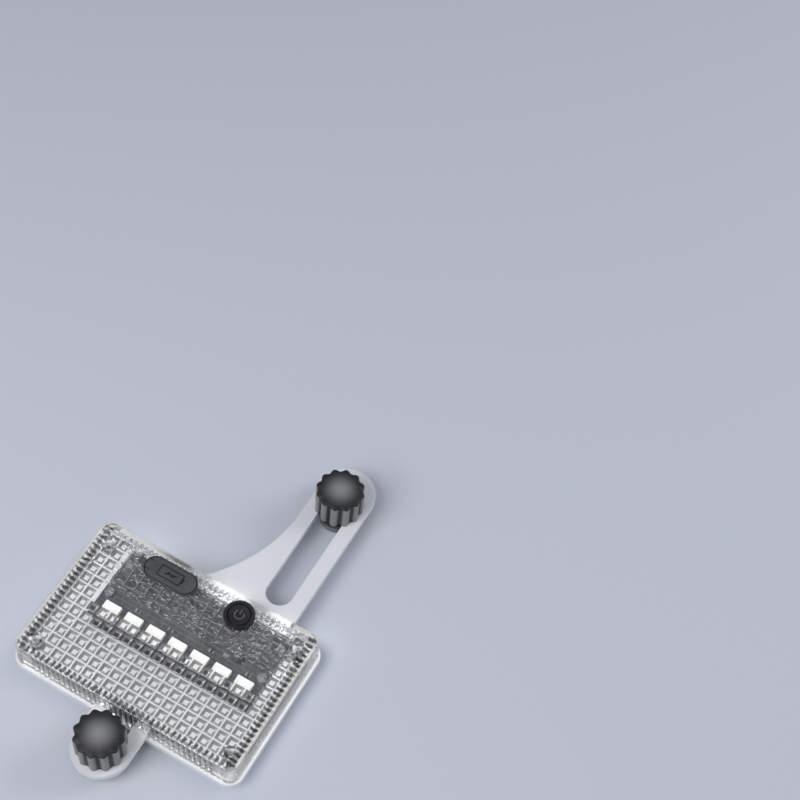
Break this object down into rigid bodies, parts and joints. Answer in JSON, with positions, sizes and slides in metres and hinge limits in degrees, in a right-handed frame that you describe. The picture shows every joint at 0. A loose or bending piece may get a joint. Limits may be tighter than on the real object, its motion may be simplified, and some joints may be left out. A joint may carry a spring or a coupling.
{
  "type": "spoke-mounted bicycle wheel light",
  "caption": "Clip-on wheel light: clear prismatic cover on a rear tray, slotted bracket plate through both long sides, a thumb clamp at each end that holds a spoke.",
  "frame": {"origin": "Middle of the flat back of the rear tray.", "axes": "X along the row of LEDs, +Y towards the long arm of the bracket plate, +Z out of the clear face."},
  "size_m": [0.072, 0.1173, 0.0163],
  "materials": {
    "clear_cover": "clear moulded polycarbonate with prism cells",
    "tray": "clear moulded polycarbonate",
    "seal": "beige foam",
    "plate": "clear polycarbonate sheet",
    "board": "grey solder mask",
    "led": "white package with a clear cup",
    "screw": "zinc plated",
    "reflector": "bright white",
    "baffle": "dark foam",
    "cell_pouch": "laminated foil",
    "pad": "foam with adhesive",
    "lead": "sleeved wire",
    "socket_metal": "plated sheet",
    "insulator": "black moulding",
    "port_rubber": "soft dark grey rubber",
    "button_black": "satin black",
    "knob_black": "satin black",
    "insert_brass": "machined",
    "shoe_black": "satin black",
    "stud_steel": "plated thread",
    "head_grey": "grey moulding"
  },
  "bodies": {
    "light": {"lens_cover": "clear_cover", "back_cover": "tray", "seal_strips": "seal", "bracket_plate": "plate", "circuit_board": "board", "leds": "led", "case_screws": "screw", "board_screws": "screw", "reflector_panel": "reflector", "light_baffle": "baffle", "battery": "cell_pouch", "battery_pad": "pad", "battery_leads": "lead", "usb_shell": "socket_metal", "usb_tongue": "insulator", "button_ring": "button_black", "tact_switch": "insulator", "controller_chip": "insulator", "charge_chip": "insulator", "motion_sensor": "socket_metal"},
    "button": {"button_cap": "button_black", "switch_stem": "insulator"},
    "port_flap": {"port_cover": "port_rubber"},
    "arm_shoe": {"arm_slot_shoe": "shoe_black"},
    "arm_thumb_knob": {"arm_knob": "knob_black", "arm_knob_insert": "insert_brass"},
    "arm_stud": {"arm_clamp_stud": "stud_steel"},
    "arm_head": {"arm_clamp_head": "head_grey"},
    "tab_shoe": {"tab_slot_shoe": "shoe_black"},
    "tab_thumb_knob": {"tab_knob": "knob_black", "tab_knob_insert": "insert_brass"},
    "tab_stud": {"tab_clamp_stud": "stud_steel"},
    "tab_head": {"tab_clamp_head": "head_grey"}
  },
  "joints": [
    {"name": "button_press", "type": "slide", "parent": "light", "child": "button", "axis": [0, 0, -1], "range_m": [0, 0.0004], "stiffness_N_per_m": 300, "springref_m": -0.0005},
    {"name": "port_flap_open", "type": "hinge", "parent": "light", "child": "port_flap", "pos_m": [-0.0199, 0.0167, 0.0137], "axis": [0, -1, 0], "range_deg": [0, 130]},
    {"name": "arm_clamp_slide", "type": "slide", "parent": "light", "child": "arm_shoe", "axis": [0, 1, 0], "range_m": [-0.0322, 0.0046]},
    {"name": "arm_knob_turn", "type": "hinge", "parent": "arm_shoe", "child": "arm_thumb_knob", "pos_m": [0.0164, 0.0639, 0.0116], "axis": [0, 0, 1], "range_deg": [0, 990]},
    {"name": "arm_stud_draw", "type": "slide", "parent": "arm_shoe", "child": "arm_stud", "axis": [0, 0, 1], "range_m": [-0.00192, 0]},
    {"name": "arm_head_swivel", "type": "hinge", "parent": "arm_stud", "child": "arm_head", "pos_m": [0.0164, 0.0639, 0.0016], "axis": [0, 0, 1], "continuous": true},
    {"name": "tab_clamp_slide", "type": "slide", "parent": "light", "child": "tab_shoe", "axis": [0, 1, 0], "range_m": [0, 0.0014]},
    {"name": "tab_knob_turn", "type": "hinge", "parent": "tab_shoe", "child": "tab_thumb_knob", "pos_m": [0, -0.0319, 0.0116], "axis": [0, 0, 1], "range_deg": [0, 990]},
    {"name": "tab_stud_draw", "type": "slide", "parent": "tab_shoe", "child": "tab_stud", "axis": [0, 0, 1], "range_m": [-0.00192, 0]},
    {"name": "tab_head_swivel", "type": "hinge", "parent": "tab_stud", "child": "tab_head", "pos_m": [0, -0.0319, 0.0016], "axis": [0, 0, 1], "continuous": true}
  ],
  "couplings": [
    {"joint": "arm_knob_turn", "follows": "arm_stud_draw", "rad_per_m": -8976},
    {"joint": "tab_knob_turn", "follows": "tab_stud_draw", "rad_per_m": -8976}
  ]
}
